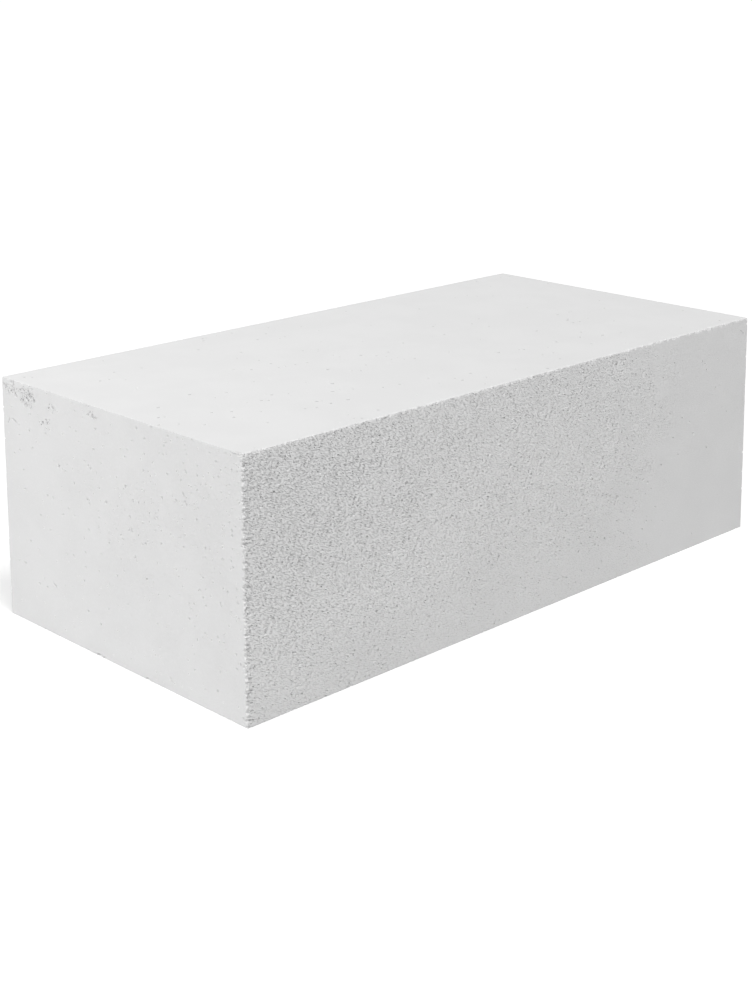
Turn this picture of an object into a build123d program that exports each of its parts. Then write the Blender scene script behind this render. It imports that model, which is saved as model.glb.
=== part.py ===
from build123d import *
import os

# A solid wall block of aerated concrete, cast in a large cake and wire-cut to size as one piece.
# +X runs along the length, +Y across the width and +Z up. The origin is the centre of the lower bed.

# Block between its two heads, its two long faces and its two beds
length = 600.0
width = 300.0
height = 200.0

# Radius to which all the arrises have worn
arris_radius = 1.2

# Top corner knocked off where the -X head meets the -Y long face: how far it reaches along the three edges
knock_along = 3.0
knock_across = 14.0
knock_down = 3.0

with BuildPart() as block:
    with BuildSketch():
        Rectangle(length, width)
    extrude(amount=height)
    fillet(block.edges(), radius=arris_radius)
    # The facet cuts the corner's three edges at those distances from the sharp corner point
    knock_foot = Vector(-length / 2, -width / 2, height - knock_down)
    knock_outward = Vector(-1 / knock_along, -1 / knock_across, 1 / knock_down)
    split(bisect_by=Plane(origin=knock_foot, z_dir=knock_outward), keep=Keep.BOTTOM)
block.part.label = "block"

os.makedirs("parts", exist_ok=True)
export_step(block.part, "parts/block.step")
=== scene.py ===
"""The dressed block: its pores, crumbled arrises, knocked corner and chalky finish, in a plain studio.

Lengths are in metres. The dressed piece stands for the plain solid and stays inside its box.
"""
import itertools
import math

import bpy
import numpy as np
from mathutils import Matrix, Vector


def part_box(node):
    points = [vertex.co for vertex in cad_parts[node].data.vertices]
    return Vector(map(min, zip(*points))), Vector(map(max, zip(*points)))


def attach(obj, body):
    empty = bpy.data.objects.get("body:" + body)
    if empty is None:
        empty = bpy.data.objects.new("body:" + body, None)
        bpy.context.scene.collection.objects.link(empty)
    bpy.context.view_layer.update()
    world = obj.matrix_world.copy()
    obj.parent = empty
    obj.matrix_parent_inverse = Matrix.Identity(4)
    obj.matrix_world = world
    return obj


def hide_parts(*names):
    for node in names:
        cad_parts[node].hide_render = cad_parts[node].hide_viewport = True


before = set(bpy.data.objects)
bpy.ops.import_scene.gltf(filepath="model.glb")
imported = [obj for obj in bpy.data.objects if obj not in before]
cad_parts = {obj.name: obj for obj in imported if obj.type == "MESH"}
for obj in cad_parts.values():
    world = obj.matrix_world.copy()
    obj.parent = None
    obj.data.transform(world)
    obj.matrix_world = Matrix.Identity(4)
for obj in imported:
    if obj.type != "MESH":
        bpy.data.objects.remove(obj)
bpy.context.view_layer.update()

LOW, HIGH = (np.array(corner, float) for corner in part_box("block"))
CENTRE = (LOW + HIGH) / 2
HALF = (HIGH - LOW) / 2
X, Y, Z = range(3)
MILLIMETRES = 1000

# Each side of the block: the axis it faces, which way, and the two axes of its grid
SIDES = {
    "front": (Y, -1, X, Z),
    "back": (Y, 1, X, Z),
    "left_head": (X, -1, Y, Z),
    "right_head": (X, 1, Y, Z),
    "lower_bed": (Z, -1, X, Y),
    "upper_bed": (Z, 1, X, Y),
}
# Finish of the sides that face along X, Y and Z
WIRE_CUT, HEAD, BED = range(3)
FINISH_OF_AXIS = np.array([HEAD, WIRE_CUT, BED], np.int32)

# Grid of the relief, before it is thinned to the triangles that the relief needs
GRID_STEP = np.array([0.00075, 0.00075, 0.00067])
GRID_COUNT = np.rint((HIGH - LOW) / GRID_STEP).astype(int)
GRID_PITCH = (HIGH - LOW) / GRID_COUNT
MOST_TRIANGLES = 190_000

SEED = 20
rng = np.random.default_rng(SEED)


def smooth_step(value, start, end):
    """Rises from 0 at start to 1 at end along the cubic 3 t t - 2 t t t."""
    t = np.clip((value - start) / (end - start), 0, 1)
    return t * t * (3 - 2 * t)


def solid_noise(points, cell, table):
    """Noise in space, from 0 to 1.

    The table's numbers stand on a cubic lattice and are blended between the eight corners of its cells.
    """
    place = points / cell
    corner = np.floor(place).astype(int)
    part = smooth_step(place - corner, 0, 1)
    total = np.zeros(len(points))
    for offset in itertools.product((0, 1), repeat=3):
        weight = np.where(offset, part, 1 - part).prod(1)
        total += weight * table[tuple(((corner + offset) % len(table)).T)]
    return total


# Pits: one row each, with their place on the side's two axes, radius, stretch, turn and lift

def pits(places, radius, stretch=1.0, turn=0.0, lift=0.3):
    """Rows of pits: a place, a mouth radius, a stretch, a turn, and the bubble centre's lift in radii."""
    columns = [places[:, 0], places[:, 1], radius, stretch, turn, lift]
    return np.stack([np.broadcast_to(column, len(places)) for column in columns], 1)


def pit_depth(side, rows):
    """Depth of a side that is cut through bubbles.

    A bubble is an ellipsoid with its centre a little over the face. Within its mouth the depth is the radius
    times the root of one less the squared distance in radii, less the lift. The deepest bubble counts.
    """
    axis, way, along, up = SIDES[side]
    depth = np.zeros((GRID_COUNT[along] + 1, GRID_COUNT[up] + 1))
    place = rows[:, :2]
    radius, stretch, turn, lift = rows[:, 2:].T
    low, pitch = LOW[[along, up]], GRID_PITCH[[along, up]]
    nearest = np.rint((place - low) / pitch).astype(int)
    reach = np.ceil((radius * stretch).max() / pitch).astype(int)
    for offset in itertools.product(*(range(-r, r + 1) for r in reach)):
        at = nearest + offset
        away_u, away_v = (low + at * pitch - place).T
        lengthwise = (away_u * np.cos(turn) + away_v * np.sin(turn)) / stretch
        sideways = (away_v * np.cos(turn) - away_u * np.sin(turn)) * stretch
        inside = 1 - (lengthwise**2 + sideways**2) / radius**2
        hollow = radius * (np.sqrt(np.maximum(inside, 0)) - lift)
        on_side = ((at >= 0) & (at < depth.shape)).all(1)
        np.maximum.at(depth, tuple(at[on_side].T), hollow[on_side])
    return depth


# Pores of the wire-cut long faces
PORE_COUNT = 4000
PORE_RADIUS = 0.00085
PORE_RADIUS_SPREAD = 0.25
PORE_RADIUS_RANGE = (0.0007, 0.0016)
PORE_STRETCH = (1.05, 1.4)
PORE_TURN = -0.25
PORE_TURN_SPREAD = 0.4
PORE_LIFT = (0.15, 0.6)
SMEARED_END = (0.10, 0.19)
SMEARED_END_OPENNESS = 0.03
SMEARED_FOOT = (0.0, 0.12)
# Openness of the foot itself: from the first to the second between these places along the face
FOOT_STRETCH = (LOW[X], -0.05)
FOOT_OPENNESS = (0.42, 0.18)


def share_open(along, up):
    """Share of pores left open: all, but fewer towards the +X end and the foot, where slurry filled them."""
    end = 1 - (1 - SMEARED_END_OPENNESS) * smooth_step(along, *SMEARED_END)
    first, second = FOOT_OPENNESS
    at_foot = first + (second - first) * smooth_step(along, *FOOT_STRETCH)
    foot = at_foot + (1 - at_foot) * smooth_step(up, *SMEARED_FOOT)
    return end * foot


def wire_cut_pores():
    """Pores torn open by the wire, scattered over a long face and stretched a little along the cut."""
    place = rng.uniform(LOW[[X, Z]], HIGH[[X, Z]], (PORE_COUNT, 2))
    place = place[rng.random(PORE_COUNT) < share_open(*place.T)]
    count = len(place)
    radius = PORE_RADIUS * np.exp(PORE_RADIUS_SPREAD * rng.standard_normal(count))
    turn = rng.normal(PORE_TURN, PORE_TURN_SPREAD, count)
    return pits(place, radius.clip(*PORE_RADIUS_RANGE), rng.uniform(*PORE_STRETCH, count), turn,
                rng.uniform(*PORE_LIFT, count))


# Pinholes of the smooth heads and beds: their count, and a power for each axis of the side, which crowds them
# towards its low end where it is over 1 and its high end where it is under 1
PINHOLES = {
    "left_head": (230, (1.9, 0.8)),
    "right_head": (230, (1.0, 0.8)),
    "lower_bed": (16, (1.0, 1.0)),
    "upper_bed": (16, (1.4, 1.4)),
}
PINHOLE_RADIUS = (0.0006, 0.0011)
PINHOLE_LIFT = (0.0, 0.2)


def pinholes(side):
    """Pinholes of a smooth side, spread by random numbers raised to its powers."""
    axis, way, along, up = SIDES[side]
    count, crowding = PINHOLES[side]
    spread = rng.random((count, 2)) ** crowding
    place = LOW[[along, up]] + spread * (HIGH - LOW)[[along, up]]
    return pits(place, rng.uniform(*PINHOLE_RADIUS, count), lift=rng.uniform(*PINHOLE_LIFT, count))


# Crumbled patches of the left head: distance from the far arris, depth under the top, reach both ways, pits,
# and the share of its finest pores that is open
CRUMBLED_PATCHES = (
    (0.0140, 0.0070, 0.0125, 0.0060, 16, 0.6),
    (0.0360, 0.0100, 0.0120, 0.0095, 30, 1.0),
    (0.0690, 0.0130, 0.0060, 0.0045, 5, 0.5),
    (0.0600, 0.0270, 0.0080, 0.0055, 4, 0.4),
    (0.1240, 0.0080, 0.0070, 0.0045, 5, 0.5),
)
CRUMB_RADIUS = (0.0008, 0.0014)
CRUMB_LIFT = (0.0, 0.2)
# Power that spreads the crumbs from a patch's middle: 0.5 is even, and more gathers them there
CRUMB_GATHERING = 0.6


def crumbled_patches():
    """Pits gathered in round patches under the top of the left head, thinning out from each middle."""
    rows = []
    for from_arris, from_top, reach_across, reach_down, count, share in CRUMBLED_PATCHES:
        angle = rng.uniform(0, 2 * math.pi, count)
        far = rng.random(count) ** CRUMB_GATHERING
        across = HIGH[Y] - from_arris + reach_across * far * np.cos(angle)
        up = HIGH[Z] - from_top + reach_down * far * np.sin(angle)
        place = np.stack([across, up], 1)
        rows.append(pits(place, rng.uniform(*CRUMB_RADIUS, count), lift=rng.uniform(*CRUMB_LIFT, count)))
    return np.concatenate(rows)


# Crumbs lost along the arrises, closer together on the rough ones
ROUGH_ARRISES = (
    {"front", "left_head"}, {"front", "upper_bed"}, {"back", "right_head"}, {"back", "lower_bed"},
)
ROUGH_ARRIS_SPACING = 0.0028
SMOOTH_ARRIS_SPACING = 0.030
ROUGH_BITE = (0.0008, 0.0019)
SMOOTH_BITE = (0.0006, 0.0011)


def side_facing(axis, way):
    """Name of the side that faces this way along this axis."""
    return next(side for side, facts in SIDES.items() if facts[:2] == (axis, way))


def arris_bites():
    """Round bites centred on the twelve arrises, each cut from both sides that meet there."""
    rows = {side: [] for side in SIDES}
    for axis in (X, Y, Z):
        first, second = (other for other in (X, Y, Z) if other != axis)
        for way_first, way_second in itertools.product((-1, 1), repeat=2):
            meeting = (side_facing(first, way_first), side_facing(second, way_second))
            rough = set(meeting) in ROUGH_ARRISES
            spacing = ROUGH_ARRIS_SPACING if rough else SMOOTH_ARRIS_SPACING
            count = int((HIGH - LOW)[axis] / spacing)
            place = np.zeros((count, 3))
            place[:, axis] = rng.uniform(LOW[axis], HIGH[axis], count)
            place[:, first] = CENTRE[first] + way_first * HALF[first]
            place[:, second] = CENTRE[second] + way_second * HALF[second]
            radius = rng.uniform(*(ROUGH_BITE if rough else SMOOTH_BITE), count)
            for side in meeting:
                rows[side].append(pits(place[:, SIDES[side][2:]], radius, lift=0.0))
    return {side: np.concatenate(found) for side, found in rows.items()}


# Teeth torn along the near upright arris: their spacing, their place in it, sizes, and how far in they lie
TOOTH_SPACING = 0.0038
TOOTH_PLACE = (0.1, 0.9)
TOOTH_RADIUS = (0.0010, 0.0017)
TOOTH_STRETCH = (1.2, 1.9)
TOOTH_STRETCH_IN_HEAD = 1.2
TOOTH_LIFT = 0.1
TOOTH_IN_FRONT = (0.0, 0.0045)
TOOTH_IN_HEAD = (0.0, 0.0015)


def arris_teeth():
    """Flat pits in pairs along the near upright arris, as the front and the left head show them."""
    count = int((HIGH - LOW)[Z] / TOOTH_SPACING)
    up = LOW[Z] + (np.arange(count) + rng.uniform(*TOOTH_PLACE, count)) * TOOTH_SPACING
    radius = rng.uniform(*TOOTH_RADIUS, count)
    stretch = rng.uniform(*TOOTH_STRETCH, count)
    in_front = np.stack([LOW[X] + rng.uniform(*TOOTH_IN_FRONT, count), up], 1)
    in_head = np.stack([LOW[Y] + rng.uniform(*TOOTH_IN_HEAD, count), up], 1)
    on_front = pits(in_front, radius, stretch, PORE_TURN, TOOTH_LIFT)
    on_head = pits(in_head, radius, TOOTH_STRETCH_IN_HEAD, lift=TOOTH_LIFT)
    return on_front, on_head


# Single pits of the front: distance from the left head, depth under the top, and radius
FRONT_PITS = (
    (0.0645, 0.0581, 0.0014), (0.3126, 0.0765, 0.0015), (0.3767, 0.1003, 0.0015), (0.1220, 0.1294, 0.0013),
)
# Nicks in the front's top arris: distance from the left head, and radius
FRONT_ARRIS_NICKS = ((0.5400, 0.0032), (0.1040, 0.0024), (0.1220, 0.0022), (0.0120, 0.0024))
FRONT_NICK_STRETCH = 1.2
# Nicks in the foot of the left head: distance from the far arris, and radius
FOOT_NICKS = ((0.1227, 0.0026), (0.1290, 0.0018), (0.1841, 0.0020))
FOOT_NICK_STRETCH = 1.3
NICK_LIFT = 0.1
# Marks of the left head: distance from the far arris, depth under the top, radius, stretch, turn and lift
HEAD_MARKS = (
    (0.0771, 0.0576, 0.0013, 1.0, 0.0, 0.0), (0.1638, 0.0540, 0.0012, 1.0, 0.0, 0.0),
    (0.1382, 0.0723, 0.0013, 1.0, 0.0, 0.0), (0.0649, 0.1579, 0.0015, 2.2, 0.5, 0.2),
    (0.0080, 0.0345, 0.0020, 2.4, -1.0, 0.5), (0.0165, 0.0330, 0.0022, 2.4, 0.35, 0.5),
    (0.2336, 0.0440, 0.0016, 1.8, 0.9, 0.4),
)
# Pinholes seen in the upper bed: distance from the left head and from the back
BED_SPOTS = (
    (0.145, 0.115), (0.182, 0.136), (0.149, 0.156), (0.210, 0.185), (0.250, 0.190), (0.164, 0.220),
    (0.240, 0.244), (0.120, 0.277), (0.100, 0.290), (0.195, 0.275),
)
BED_SPOT_RADIUS = 0.0010
BED_SPOT_LIFT = 0.1


def front_marks():
    """The front's larger single pits, and the nicks in its top arris on the front and on the upper bed."""
    from_head, under, radius = np.array(FRONT_PITS).T
    single = pits(np.stack([LOW[X] + from_head, HIGH[Z] - under], 1), radius, lift=0.0)
    from_head, radius = np.array(FRONT_ARRIS_NICKS).T
    along = LOW[X] + from_head
    nicks = []
    for arris in (HIGH[Z], LOW[Y]):
        place = np.stack([along, np.full(len(along), arris)], 1)
        nicks.append(pits(place, radius, FRONT_NICK_STRETCH, lift=NICK_LIFT))
    on_front, on_bed = nicks
    return np.concatenate([single, on_front]), on_bed


def foot_marks():
    """Nicks in the foot of the left head, as the head and the lower bed show them."""
    from_arris, radius = np.array(FOOT_NICKS).T
    across = HIGH[Y] - from_arris
    in_head = np.stack([across, np.full(len(across), LOW[Z])], 1)
    in_bed = np.stack([np.full(len(across), LOW[X]), across], 1)
    return pits(in_head, radius, FOOT_NICK_STRETCH, lift=NICK_LIFT), pits(in_bed, radius, lift=NICK_LIFT)


def head_marks():
    """The larger single pits and scratches of the left head."""
    across, under, radius, stretch, turn, lift = np.array(HEAD_MARKS).T
    return pits(np.stack([HIGH[Y] - across, HIGH[Z] - under], 1), radius, stretch, turn, lift)


def bed_spots():
    """The pinholes that show in the upper bed."""
    along, from_back = np.array(BED_SPOTS).T
    return pits(np.stack([LOW[X] + along, HIGH[Y] - from_back], 1), BED_SPOT_RADIUS, lift=BED_SPOT_LIFT)


def all_pits():
    """Every pit of every side, in one table a side."""
    rows = arris_bites()
    front_teeth, head_teeth = arris_teeth()
    front_single, bed_nicks = front_marks()
    head_nicks, foot_nicks = foot_marks()
    more = {
        "front": [wire_cut_pores(), front_teeth, front_single],
        "back": [wire_cut_pores()],
        "left_head": [pinholes("left_head"), crumbled_patches(), head_teeth, head_nicks, head_marks()],
        "right_head": [pinholes("right_head")],
        "lower_bed": [pinholes("lower_bed"), foot_nicks],
        "upper_bed": [pinholes("upper_bed"), bed_nicks, bed_spots()],
    }
    return {side: np.concatenate([rows[side], *more[side]]) for side in SIDES}


# Worn arrises
ARRIS_RADIUS = 0.0003
ARRIS_WEAR = 0.0020
WEAR_CELL = 0.0045
WEAR_TABLE = (32, 32, 32)
WEAR_START = 0.5
SMOOTH_ARRIS_SHARE = 0.2
ROUGH_ARRIS_REACH = 0.008

# Top corner knocked off where the left head meets the front: its reach along, across and down
KNOCK_REACH = np.array([0.003, 0.014, 0.003])
# Its facet: a point on it, the way out of it, and the depth under it that counts as broken
FACET_FOOT = np.array([LOW[X], LOW[Y], HIGH[Z] - KNOCK_REACH[Z]])
FACET_OUTWARD = np.array([-1.0, -1.0, 1.0]) / KNOCK_REACH
FACET_OUTWARD /= np.linalg.norm(FACET_OUTWARD)
BROKEN_DEPTH = 0.0004


def arris_wear(points):
    """Radius of the worn arris near each point: a least radius, plus crumbs where the noise runs high.

    The crumbs are largest near the rough arrises, where both sides that meet there are close.
    """
    noise = solid_noise(points, WEAR_CELL, rng.random(WEAR_TABLE))
    crumb = smooth_step(noise, WEAR_START, 1) * ARRIS_WEAR
    share = np.full(len(points), SMOOTH_ARRIS_SHARE)
    for meeting in ROUGH_ARRISES:
        planes = [SIDES[side][:2] for side in sorted(meeting)]
        away = np.max([HALF[axis] - way * (points[:, axis] - CENTRE[axis]) for axis, way in planes], axis=0)
        share = np.maximum(share, 1 - smooth_step(away, 0, ROUGH_ARRIS_REACH))
    return ARRIS_RADIUS + crumb * share


def rounded(points, radius):
    """The block with rounded arrises: each point is held inside by the radius, then set back out by it.

    Gives the new points and the way out of the block at each.
    """
    from_centre = points - CENTRE
    inner = HALF - radius[:, None]
    held = from_centre.clip(-inner, inner)
    outward = from_centre - held
    outward /= np.linalg.norm(outward, axis=1)[:, None]
    return CENTRE + held + radius[:, None] * outward, outward


def over_facet(points):
    """Height of each point over the knocked corner's facet, which is negative inside the block."""
    return (points - FACET_FOOT) @ FACET_OUTWARD


def knocked(points):
    """Points beyond the facet of the knocked corner are set back onto it."""
    return points - over_facet(points).clip(0)[:, None] * FACET_OUTWARD


def side_grid(side):
    """Whole-number places of a side's grid points: two axes count up, and the third stays on that side."""
    axis, way, along, up = SIDES[side]
    place = np.zeros((GRID_COUNT[along] + 1, GRID_COUNT[up] + 1, 3), int)
    place[..., along] = np.arange(GRID_COUNT[along] + 1)[:, None]
    place[..., up] = np.arange(GRID_COUNT[up] + 1)
    place[..., axis] = GRID_COUNT[axis] if way > 0 else 0
    return place


def side_quads(side, index):
    """Squares of a side's grid, with their corners in the order that makes them face outwards."""
    axis, way, along, up = SIDES[side]
    square = np.stack([index[:-1, :-1], index[1:, :-1], index[1:, 1:], index[:-1, 1:]], -1).reshape(-1, 4)
    faces_up_axis = np.cross(np.eye(3)[along], np.eye(3)[up])[axis]
    return square if faces_up_axis == way else square[:, ::-1]


def relief():
    """The block's closed surface: six grids joined at the arrises, worn round, cut by the pits, and knocked.

    Gives its points, its squares and the number of the side that each square is on.
    """
    grids = {side: side_grid(side) for side in SIDES}
    lattice = GRID_COUNT + 1
    keys = [np.ravel_multi_index(tuple(np.moveaxis(grid, -1, 0)), lattice).ravel() for grid in grids.values()]
    shared, index = np.unique(np.concatenate(keys), return_inverse=True)
    index = np.split(index.ravel(), np.cumsum([len(key) for key in keys])[:-1])
    points = LOW + np.stack(np.unravel_index(shared, lattice), 1) * GRID_PITCH

    depth = np.zeros(len(points))
    squares, numbers = [], []
    rows = all_pits()
    for number, (side, found) in enumerate(zip(SIDES, index)):
        np.maximum.at(depth, found, pit_depth(side, rows[side]).ravel())
        squares.append(side_quads(side, found.reshape(grids[side].shape[:2])))
        numbers.append(np.full(len(squares[-1]), number))

    points, outward = rounded(points, arris_wear(points))
    points = knocked(points - depth[:, None] * outward)
    return points, np.concatenate(squares), np.concatenate(numbers)


def mesh_of(name, points, squares):
    """A mesh with these points and four-cornered faces."""
    mesh = bpy.data.meshes.new(name)
    mesh.vertices.add(len(points))
    mesh.vertices.foreach_set("co", points.astype(np.float32).ravel())
    mesh.loops.add(squares.size)
    mesh.loops.foreach_set("vertex_index", squares.astype(np.int32).ravel())
    mesh.polygons.add(len(squares))
    mesh.polygons.foreach_set("loop_start", np.arange(0, squares.size, 4, dtype=np.int32))
    mesh.update(calc_edges=True)
    return mesh


def thinned(mesh, triangles):
    """The same surface in at most this many triangles, kept small only where the relief needs them."""
    dense = bpy.data.objects.new("dense_block", mesh)
    bpy.context.collection.objects.link(dense)
    thin = dense.modifiers.new("thin", "DECIMATE")
    thin.ratio = triangles / (2 * len(mesh.polygons))
    evaluated = dense.evaluated_get(bpy.context.evaluated_depsgraph_get())
    fine = bpy.data.meshes.new_from_object(evaluated)
    bpy.data.objects.remove(dense)
    bpy.data.meshes.remove(mesh)
    return fine


def hollow_of(points):
    """How far each point lies under the rounded block's surface, in millimetres."""
    beyond = np.abs(points - CENTRE) - (HALF - ARRIS_RADIUS)
    outside = np.linalg.norm(beyond.clip(0), axis=1) + beyond.max(1).clip(None, 0)
    return (ARRIS_RADIUS - outside) * MILLIMETRES


def make_block():
    """The dressed block, thinned, with its sides' finishes and the depth of its hollows."""
    points, squares, numbers = relief()
    dense = mesh_of("dense_block", points, squares)
    on_side = dense.attributes.new("side", "INT", "FACE")
    on_side.data.foreach_set("value", numbers.astype(np.int32))
    mesh = thinned(dense, MOST_TRIANGLES)
    mesh.name = "block_relief"
    mesh.shade_flat()

    side = np.empty(len(mesh.polygons), np.int32)
    mesh.attributes["side"].data.foreach_get("value", side)
    mesh.materials.clear()
    for finish in (wire_cut_concrete, head_concrete, bed_concrete):
        mesh.materials.append(finish())
    faced_axis = np.array([axis for axis, *rest in SIDES.values()])
    finishes = FINISH_OF_AXIS[faced_axis[side]]
    middles = np.empty(len(mesh.polygons) * 3, np.float32)
    mesh.polygons.foreach_get("center", middles)
    finishes[over_facet(middles.reshape(-1, 3)) > -BROKEN_DEPTH] = WIRE_CUT
    mesh.polygons.foreach_set("material_index", finishes)

    points = np.empty(len(mesh.vertices) * 3, np.float32)
    mesh.vertices.foreach_get("co", points)
    points = points.reshape(-1, 3).clip(LOW, HIGH)
    mesh.vertices.foreach_set("co", points.astype(np.float32).ravel())
    # Depth of each point under the surface, by which the materials paint shade into the hollows
    hollow = mesh.attributes.new("hollow", "FLOAT", "POINT")
    hollow.data.foreach_set("value", hollow_of(points).astype(np.float32))
    mesh.attributes.remove(mesh.attributes["side"])

    block = bpy.data.objects.new("block_relief", mesh)
    bpy.context.collection.objects.link(block)
    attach(block, "root")
    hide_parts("block")


# Materials

CHALK = (0.80, 0.80, 0.80, 1.0)
# Grey towards which pores, dips and hollows are darkened as painted shade
PAINTED_SHADE_GREY = (0.50, 0.50, 0.50, 1.0)
ROUGHNESS = 0.95
SPECULAR = 0.15
BUMP_DEPTH = 0.00085
# How far a pore's floor is painted towards that grey, as shade
PORE_PAINTED_SHADE = 0.75
RIM_HEIGHT = 0.11
# Depths in millimetres between which a hollow is darkened with painted shade
HOLLOW_DEPTHS = (0.15, 1.1)
# Openness from which the skin has its full tone
SKIN_OPEN = 0.6
# Soft patches: finer layers of their noise, and the values between which a patch rises
PATCH_DETAIL = 2.0
PATCH_RISE = (0.35, 0.65)
CLOUD_SIZE = 0.045
CLOUD_TONE = (0.99, 1.008)
# Pores in the shader: bend of their cells, its finer layers, the cells' unevenness, and the radius of a
# pore's floor and the reach of its rim in pore radii
CELL_BEND = 0.3
BEND_DETAIL = 1.0
CELL_JITTER = 0.96
PORE_FLOOR = 0.4
RIM_REACH = 2.2
# Grain between the pores: finer layers of its noise, their share, the values between which pale grains end,
# and the power of the openness by which the dips show
GRAIN_DETAIL = 1.0
GRAIN_ROUGHNESS = 0.44
PALE_GRAIN = (0.3, 0.42)
DIP_POWER = 0.5
# Edge of a crumbled patch, in its reaches: where its pores start, and where all of them are open
CRUMBLED_EDGE = (1.15, 0.5)
# Dust and painted highlight on the front's arris with the upper bed: reach on the bed and on the front, and
# stretches
DUST_AND_HIGHLIGHT_ON_BED = 0.004
DUST_AND_HIGHLIGHT_ON_FRONT = 0.001
DUST_AND_HIGHLIGHT_STRETCH = 0.010
DUST_AND_HIGHLIGHT_GAIN = 0.12


def add(tree, kind, inputs=None, **settings):
    """Adds a shader node with its settings, and gives its inputs their values or links."""
    made = tree.nodes.new("ShaderNode" + kind)
    for name, value in settings.items():
        setattr(made, name, value)
    for name, value in (inputs or {}).items():
        if isinstance(value, bpy.types.NodeSocket):
            tree.links.new(value, made.inputs[name])
        else:
            made.inputs[name].default_value = value
    return made


def sum_of(tree, operation, first, second, clamp=False):
    """The result of a sum of two values or links."""
    return add(tree, "Math", {0: first, 1: second}, operation=operation, use_clamp=clamp).outputs[0]


def ramp(tree, value, start, end, low=0.0, high=1.0, smooth=True):
    """Rises from low at start to high at end, smoothly or in a straight line."""
    ends = {"Value": value, "From Min": start, "From Max": end, "To Min": low, "To Max": high}
    return add(tree, "MapRange", ends, interpolation_type="SMOOTHSTEP" if smooth else "LINEAR").outputs[0]


def patches(tree, place, size, low=0.0, high=1.0):
    """Soft patches of about this size, from low to high."""
    cloud = add(tree, "TexNoise", {"Vector": place, "Scale": 1 / size, "Detail": PATCH_DETAIL}).outputs["Fac"]
    return ramp(tree, cloud, *PATCH_RISE, low, high)


def fine_pores():
    """Node group of fine pores: a round pore with a raised rim in some of the cells of a bent flat pattern.

    The pattern lies in the vector's X and Y. An open pore's radius lies between the smallest and the largest,
    in cells. The mask is 1 on its floor and falls to 0 at its edge. The rim is highest at that edge and falls
    to 0 on both sides of it.
    """
    tree = bpy.data.node_groups.new("fine_pores", "ShaderNodeTree")
    tree.interface.new_socket("Vector", in_out="INPUT", socket_type="NodeSocketVector")
    for name in ("Pitch", "Share", "Smallest", "Largest"):
        tree.interface.new_socket(name, in_out="INPUT", socket_type="NodeSocketFloat")
    for name in ("Mask", "Rim"):
        tree.interface.new_socket(name, in_out="OUTPUT", socket_type="NodeSocketFloat")
    given = tree.nodes.new("NodeGroupInput").outputs
    result = tree.nodes.new("NodeGroupOutput")

    scale = sum_of(tree, "DIVIDE", 1.0, given["Pitch"])
    noise = add(tree, "TexNoise", {"Vector": given["Vector"], "Scale": scale, "Detail": BEND_DETAIL})
    bend = noise.outputs["Color"]
    centred = add(tree, "VectorMath", {0: bend, 1: (0.5, 0.5, 0.5)}, operation="SUBTRACT").outputs[0]
    reach = sum_of(tree, "MULTIPLY", given["Pitch"], CELL_BEND)
    shift = add(tree, "VectorMath", {0: centred, "Scale": reach}, operation="SCALE").outputs[0]
    bent = add(tree, "VectorMath", {0: given["Vector"], 1: shift}, operation="ADD").outputs[0]
    cells = add(tree, "TexVoronoi", {"Vector": bent, "Scale": scale, "Randomness": CELL_JITTER},
                voronoi_dimensions="2D").outputs
    chance = add(tree, "SeparateColor", {0: cells["Color"]}).outputs[0]
    closed = sum_of(tree, "SUBTRACT", 1.0, given["Share"])
    is_open = sum_of(tree, "GREATER_THAN", chance, closed)
    size = ramp(tree, chance, closed, 1.0, given["Smallest"], given["Largest"], smooth=False)
    radius = sum_of(tree, "MULTIPLY", size, is_open)
    mask = ramp(tree, cells["Distance"], radius, sum_of(tree, "MULTIPLY", radius, PORE_FLOOR))
    within = ramp(tree, cells["Distance"], sum_of(tree, "MULTIPLY", radius, RIM_REACH), radius)
    tree.links.new(mask, result.inputs["Mask"])
    tree.links.new(sum_of(tree, "SUBTRACT", within, mask, clamp=True), result.inputs["Rim"])


def most_of(tree, found):
    """The largest of some links."""
    most = found[0]
    for other in found[1:]:
        most = sum_of(tree, "MAXIMUM", most, other)
    return most


def arris_dust_and_highlight(tree, place):
    """Chalk dust and a painted highlight on the top arris of the front: 1 at the arris, in broken stretches.
    """
    parts = add(tree, "SeparateXYZ", {0: place}).outputs
    on_bed = ramp(tree, parts["Y"], LOW[Y] + DUST_AND_HIGHLIGHT_ON_BED, LOW[Y])
    on_front = ramp(tree, parts["Z"], HIGH[Z] - DUST_AND_HIGHLIGHT_ON_FRONT, HIGH[Z])
    both = sum_of(tree, "MULTIPLY", on_bed, on_front)
    return sum_of(tree, "MULTIPLY", both, patches(tree, place, DUST_AND_HIGHLIGHT_STRETCH))


def crumbled(tree, place):
    """Share of open pores in the crumbled patches of the left head, fading out towards their edges."""
    found = []
    for from_arris, from_top, reach_across, reach_down, count, share in CRUMBLED_PATCHES:
        middle = (LOW[X], HIGH[Y] - from_arris, HIGH[Z] - from_top)
        away = add(tree, "VectorMath", {0: place, 1: middle}, operation="SUBTRACT").outputs[0]
        reach = (reach_across, reach_across, reach_down)
        in_reaches = add(tree, "VectorMath", {0: away, 1: reach}, operation="DIVIDE").outputs[0]
        distance = add(tree, "VectorMath", {0: in_reaches}, operation="LENGTH").outputs["Value"]
        found.append(ramp(tree, distance, *CRUMBLED_EDGE, 0.0, share))
    return most_of(tree, found)


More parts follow.
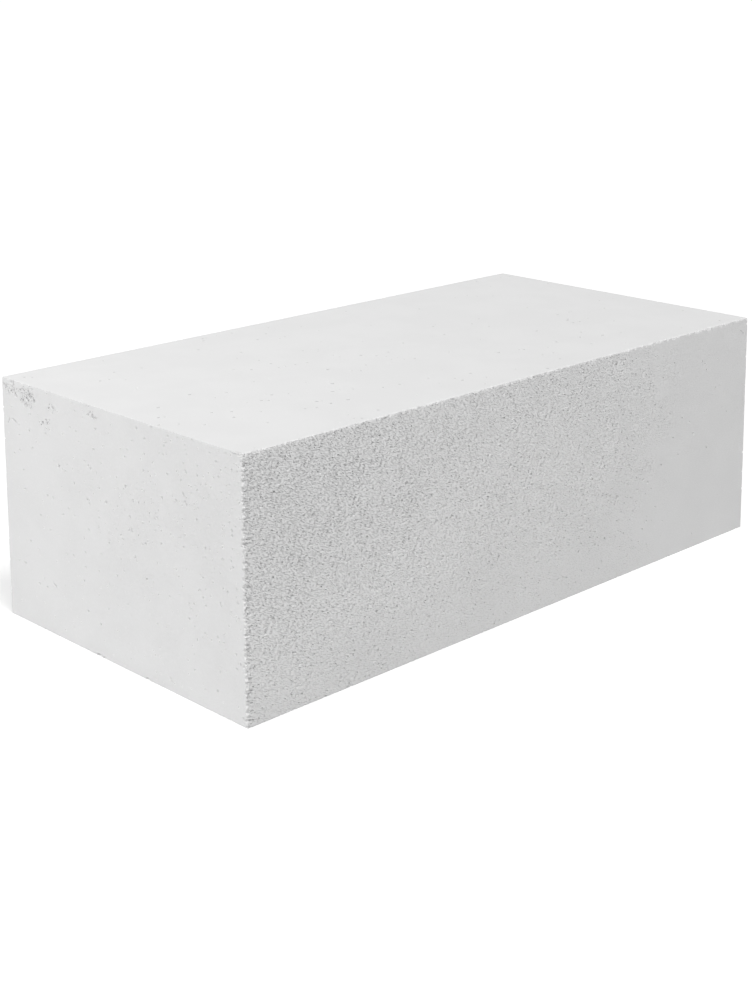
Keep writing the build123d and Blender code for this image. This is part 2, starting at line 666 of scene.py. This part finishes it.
def concrete(name, plane, openness, pores, dips, hollow_painted_shade, rim_highlight_gain, skin_grey=0.0, stretch=1.0):
    """Chalky concrete, pale grey: painted shade in pores, dips and hollows, painted highlight on pore rims.

    Openness gives the share of the surface whose skin is open; where it is closed, the skin is greyer.
    Pores are rows of what opens them, with the openness for none, their pitch, share, smallest and largest
    radius in pitches, and depth. Dips are high values of a noise: its pitch, the values at which a dip
    starts and bottoms out, and the dip's painted shade and depth. The noise's low values are pale grains,
    brighter by the last number. Both lie in a plane, which is turned into the face by three angles, and both
    are stretched along its first direction. The hollows' painted shade and the rims' painted highlight each
    have their own strength.
    """
    material = bpy.data.materials.new(name)
    material.use_nodes = True
    tree = material.node_tree
    shader = tree.nodes["Principled BSDF"]
    shader.inputs["Roughness"].default_value = ROUGHNESS
    shader.inputs["Specular IOR Level"].default_value = SPECULAR

    place = add(tree, "TexCoord").outputs["Object"]
    cut = add(tree, "Mapping", {"Vector": place, "Rotation": plane, "Scale": (stretch, 1, 1)},
              vector_type="TEXTURE").outputs[0]
    openings = openness(tree, place)
    floors, rims = [], []
    for opens, pitch, share, smallest, largest, depth in pores:
        group = tree.nodes.new("ShaderNodeGroup")
        group.node_tree = bpy.data.node_groups["fine_pores"]
        group.inputs["Pitch"].default_value = pitch
        group.inputs["Smallest"].default_value = smallest
        group.inputs["Largest"].default_value = largest
        tree.links.new(cut, group.inputs["Vector"])
        chance = sum_of(tree, "MULTIPLY", opens(tree, place) if opens else openings, share)
        tree.links.new(chance, group.inputs["Share"])
        floors.append(sum_of(tree, "MULTIPLY", group.outputs["Mask"], depth))
        rims.append(group.outputs["Rim"])
    pore = most_of(tree, floors)
    rim = most_of(tree, rims)

    pitch, dip_start, dip_end, dip_painted_shade, dip_depth, pale_gain = dips
    grain = add(tree, "TexNoise", {"Vector": cut, "Scale": 1 / pitch, "Detail": GRAIN_DETAIL,
                                   "Roughness": GRAIN_ROUGHNESS}).outputs["Fac"]
    low_spot = ramp(tree, grain, dip_start, dip_end, smooth=False)
    dip = sum_of(tree, "MULTIPLY", low_spot, sum_of(tree, "POWER", openings, DIP_POWER))

    # Painted shade: the hollows, the pores' floors and the dips are mixed towards a darker grey
    hollow = add(tree, "Attribute", attribute_name="hollow").outputs["Fac"]
    hollow_painted_dark = ramp(tree, hollow, *HOLLOW_DEPTHS, 0.0, hollow_painted_shade, smooth=False)
    pore_painted_dark = sum_of(tree, "MULTIPLY", pore, PORE_PAINTED_SHADE)
    dip_painted_dark = sum_of(tree, "MULTIPLY", dip, dip_painted_shade)
    painted_darkening = sum_of(tree, "MINIMUM", most_of(tree, [hollow_painted_dark, pore_painted_dark, dip_painted_dark]), 1.0)
    blend = add(tree, "Mix", {"Factor": painted_darkening, "A": CHALK, "B": PAINTED_SHADE_GREY}, data_type="RGBA")

    tone = patches(tree, place, CLOUD_SIZE, *CLOUD_TONE)
    skin = ramp(tree, openings, 0.0, SKIN_OPEN, 1 - skin_grey, 1.0, smooth=False)
    pale = ramp(tree, grain, *PALE_GRAIN, pale_gain, 1.0, smooth=False)
    # Painted highlight: the pores' rims are made paler
    rim_painted_highlight = ramp(tree, rim, 0.0, 1.0, 1.0, 1 + rim_highlight_gain, smooth=False)
    # Paler in broken stretches along the front's top arris: partly chalk dust, partly painted highlight
    dust_and_highlight_tone = ramp(tree, arris_dust_and_highlight(tree, place), 0.0, 1.0, 1.0, 1 + DUST_AND_HIGHLIGHT_GAIN, smooth=False)
    for other in (skin, pale, rim_painted_highlight, dust_and_highlight_tone):
        tone = sum_of(tree, "MULTIPLY", tone, other)
    toned = add(tree, "VectorMath", {0: blend.outputs["Result"], "Scale": tone}, operation="SCALE").outputs[0]
    tree.links.new(toned, shader.inputs["Base Color"])

    low = sum_of(tree, "ADD", pore, sum_of(tree, "MULTIPLY", dip, dip_depth))
    height = sum_of(tree, "SUBTRACT", sum_of(tree, "MULTIPLY", rim, RIM_HEIGHT), low)
    bump = add(tree, "Bump", {"Height": height, "Strength": 1.0, "Distance": BUMP_DEPTH}).outputs[0]
    tree.links.new(bump, shader.inputs["Normal"])
    return material


# Finish of the wire-cut faces. Pores: pitch, share, smallest and largest radius in pitches, and depth
WIRE_CUT_PORES = (0.0016, 0.65, 0.06, 0.26, 1.35)
# Dips: pitch, start, end, painted shade, depth and pale gain. Their noise is finest where a whole number of
# pitches lies between the block's middle and its long faces
WIRE_CUT_DIPS = (HALF[Y] / 180, 0.52, 0.645, 0.42, 0.62, 1.03)
WIRE_CUT_STRETCH = 3.1
WIRE_CUT_TURN = 0.45
# Strength of the painted highlight on the pores' rims
WIRE_CUT_RIM_HIGHLIGHT = 0.044
# Strength of the painted shade in the hollows
WIRE_CUT_HOLLOW_PAINTED_SHADE = 0.13
# Patches of openness: size, least and most
WIRE_CUT_PATCHES = (0.03, 0.75, 1.1)
# Fade of the openness along the face: where it starts and ends, and the openness there
WIRE_CUT_FADE = (LOW[X], 0.05, 1.0, 0.60)
# Wave of the smeared end's edge: size of its patches, and how far they shift it at least and at most
SMEAR_WAVE = (0.035, -0.02, 0.04)
SKIN_GREY = 0.105


def wire_cut_concrete():
    """The long faces: open pores everywhere but at the smeared end and foot."""
    def openness(tree, place):
        parts = add(tree, "SeparateXYZ", {0: place}).outputs
        wavy = sum_of(tree, "ADD", parts["X"], patches(tree, place, *SMEAR_WAVE))
        end = ramp(tree, wavy, *SMEARED_END, 1.0, SMEARED_END_OPENNESS)
        at_foot = ramp(tree, parts["X"], *FOOT_STRETCH, *FOOT_OPENNESS)
        foot = ramp(tree, parts["Z"], *SMEARED_FOOT, at_foot, 1.0)
        fade = ramp(tree, parts["X"], *WIRE_CUT_FADE)
        both = sum_of(tree, "MULTIPLY", end, foot)
        faded = sum_of(tree, "MULTIPLY", both, fade)
        return sum_of(tree, "MULTIPLY", faded, patches(tree, place, *WIRE_CUT_PATCHES), clamp=True)
    along_cut = (math.pi / 2, WIRE_CUT_TURN, 0)
    return concrete("wire_cut_concrete", along_cut, openness, ((None, *WIRE_CUT_PORES),), WIRE_CUT_DIPS,
                    WIRE_CUT_HOLLOW_PAINTED_SHADE, WIRE_CUT_RIM_HIGHLIGHT, SKIN_GREY, WIRE_CUT_STRETCH)


# Finish of the heads: pinholes, crumbs, dips and patches in the same order of numbers
HEAD_PORES = (0.0028, 0.20, 0.10, 0.30, 0.5)
HEAD_CRUMBS = (0.0017, 0.9, 0.1, 0.42, 1.25)
HEAD_DIPS = (0.0016, 0.5, 0.75, 0.06, 0.2, 1.015)
# Strength of the painted highlight on the pores' rims
HEAD_RIM_HIGHLIGHT = 0.13
# Strength of the painted shade in the hollows
HEAD_HOLLOW_PAINTED_SHADE = 0.3
HEAD_PATCHES = (0.035, 0.25, 1.0)
HEAD_SKIN_GREY = -0.02
# Openness of the heads from the back to the front, and from the foot to the top
HEAD_OPEN_ACROSS = (0.15, 1.0)
HEAD_OPEN_UP = (0.5, 1.0)


def head_concrete():
    """The heads: a closed skin with pinholes, more towards the front and the top, and crumbled patches."""
    def openness(tree, place):
        parts = add(tree, "SeparateXYZ", {0: place}).outputs
        near = ramp(tree, parts["Y"], HIGH[Y], LOW[Y], *HEAD_OPEN_ACROSS)
        upper = ramp(tree, parts["Z"], LOW[Z], HIGH[Z], *HEAD_OPEN_UP)
        both = sum_of(tree, "MULTIPLY", near, upper)
        return sum_of(tree, "MULTIPLY", both, patches(tree, place, *HEAD_PATCHES))
    across = (math.pi / 2, 0, math.pi / 2)
    pores = ((None, *HEAD_PORES), (crumbled, *HEAD_CRUMBS))
    return concrete("head_concrete", across, openness, pores, HEAD_DIPS, HEAD_HOLLOW_PAINTED_SHADE, HEAD_RIM_HIGHLIGHT,
                    HEAD_SKIN_GREY)


# Finish of the beds
BED_PORES = (0.004, 0.03, 0.15, 0.42, 0.6)
BED_DIPS = (0.0022, 0.55, 0.8, 0.03, 0.08, 1.0)
# Strength of the painted highlight on the pores' rims
BED_RIM_HIGHLIGHT = 0.04
# Strength of the painted shade in the hollows
BED_HOLLOW_PAINTED_SHADE = 0.25
BED_PATCHES = 0.1


def bed_concrete():
    """The beds: a closed, nearly even skin."""
    def openness(tree, place):
        return patches(tree, place, BED_PATCHES)
    level = (0, 0, 0)
    return concrete("bed_concrete", level, openness, ((None, *BED_PORES),), BED_DIPS, BED_HOLLOW_PAINTED_SHADE, BED_RIM_HIGHLIGHT)


# Studio

FLOOR_SIZE = 40.0
FLOOR_COLOUR = (0.80, 0.80, 0.80, 1.0)
FLOOR_LIFT_TO_WHITE = 0.36
SKY_COLOUR = (1.0, 1.0, 1.0, 1.0)
SKY_LIGHT = 0.42
# Lights far away: the part of each axis that a surface facing along it gets, and the width in degrees
KEY_LIGHT = ((-0.03, -0.213, 0.42), 20)
HEAD_LIGHT = ((-0.225, 0.0, 0.02), 60)
# Lamp behind the left head: place, the point that it faces, width and power
SIDE_LAMP_PLACE = np.array([-1.0, 0.35, 1.0])
SIDE_LAMP_AIM = np.array([-0.3, 0.05, 0.2])
SIDE_LAMP_WIDTH = 0.8
SIDE_LAMP_POWER = 3.1

CAMERA_PLACE = (-1.0383, -1.0433, 0.5538)
CAMERA_AZIMUTH = math.radians(-44.1016)
CAMERA_ELEVATION = math.radians(10.4237)
CAMERA_ROLL = math.radians(-0.2603)
CAMERA_LENS = 63.4716
CAMERA_SHIFT = -0.25


def seen_by_camera(tree):
    """1 for rays from the camera, from gloss and through glass, and 0 for the rays that light the object."""
    path = add(tree, "LightPath").outputs
    return most_of(tree, [path[kind] for kind in ("Is Camera Ray", "Is Glossy Ray", "Is Transmission Ray")])


def make_floor():
    """A pale matt floor that shows white where nothing shades it."""
    half = FLOOR_SIZE / 2
    points = np.array([[-half, -half, 0], [half, -half, 0], [half, half, 0], [-half, half, 0]])
    mesh = mesh_of("floor", points, np.array([[0, 1, 2, 3]]))
    material = bpy.data.materials.new("floor_white")
    material.use_nodes = True
    tree = material.node_tree
    tree.nodes.clear()
    matt = add(tree, "BsdfDiffuse", {"Color": FLOOR_COLOUR}).outputs[0]
    lift = sum_of(tree, "MULTIPLY", seen_by_camera(tree), FLOOR_LIFT_TO_WHITE)
    glow = add(tree, "Emission", {"Strength": lift}).outputs[0]
    both = add(tree, "AddShader", {0: matt, 1: glow}).outputs[0]
    add(tree, "OutputMaterial", {"Surface": both})
    mesh.materials.append(material)
    floor = bpy.data.objects.new("floor", mesh)
    bpy.context.collection.objects.link(floor)


def add_sun(name, parts, width):
    """A light from far away, whose strength on a surface facing along an axis is that axis's part."""
    lamp = bpy.data.lights.new(name, "SUN")
    lamp.energy = math.pi * math.hypot(*parts)
    lamp.angle = math.radians(width)
    sun = bpy.data.objects.new(name, lamp)
    sun.rotation_euler = (math.atan2(math.hypot(*parts[:2]), parts[2]), 0, math.atan2(parts[0], -parts[1]))
    bpy.context.collection.objects.link(sun)


def add_side_lamp():
    """A round soft lamp behind the left head, which lights the top and the head less with distance."""
    lamp = bpy.data.lights.new("side_lamp", "AREA")
    lamp.shape = "DISK"
    lamp.size = SIDE_LAMP_WIDTH
    lamp.energy = SIDE_LAMP_POWER
    side_lamp = bpy.data.objects.new("side_lamp", lamp)
    side_lamp.location = SIDE_LAMP_PLACE
    side_lamp.rotation_euler = Vector(SIDE_LAMP_AIM - SIDE_LAMP_PLACE).to_track_quat("-Z", "Y").to_euler()
    bpy.context.collection.objects.link(side_lamp)


def light_studio():
    """Even sky light, white to the camera, a key light from above, and two soft lights from the left."""
    world = bpy.data.worlds.new("studio")
    bpy.context.scene.world = world
    world.use_nodes = True
    tree = world.node_tree
    tree.nodes.clear()
    strength = ramp(tree, seen_by_camera(tree), 0.0, 1.0, SKY_LIGHT, 1.0, smooth=False)
    sky = add(tree, "Background", {"Color": SKY_COLOUR, "Strength": strength}).outputs[0]
    add(tree, "OutputWorld", {"Surface": sky})
    add_sun("key_light", *KEY_LIGHT)
    add_sun("head_light", *HEAD_LIGHT)
    add_side_lamp()


def set_camera():
    """The photograph's viewpoint: turned about Z, tipped down, and rolled a little about its own axis."""
    lens = bpy.data.cameras.new("camera")
    lens.lens = CAMERA_LENS
    lens.shift_y = CAMERA_SHIFT
    camera = bpy.data.objects.new("camera", lens)
    turn = Matrix.Rotation(CAMERA_AZIMUTH, 4, "Z")
    tip = Matrix.Rotation(math.pi / 2 - CAMERA_ELEVATION, 4, "X")
    roll = Matrix.Rotation(CAMERA_ROLL, 4, "Z")
    camera.matrix_world = Matrix.Translation(CAMERA_PLACE) @ turn @ tip @ roll
    bpy.context.collection.objects.link(camera)
    bpy.context.scene.camera = camera


fine_pores()
make_block()
make_floor()
light_studio()
set_camera()
bpy.context.scene.view_settings.view_transform = "Standard"
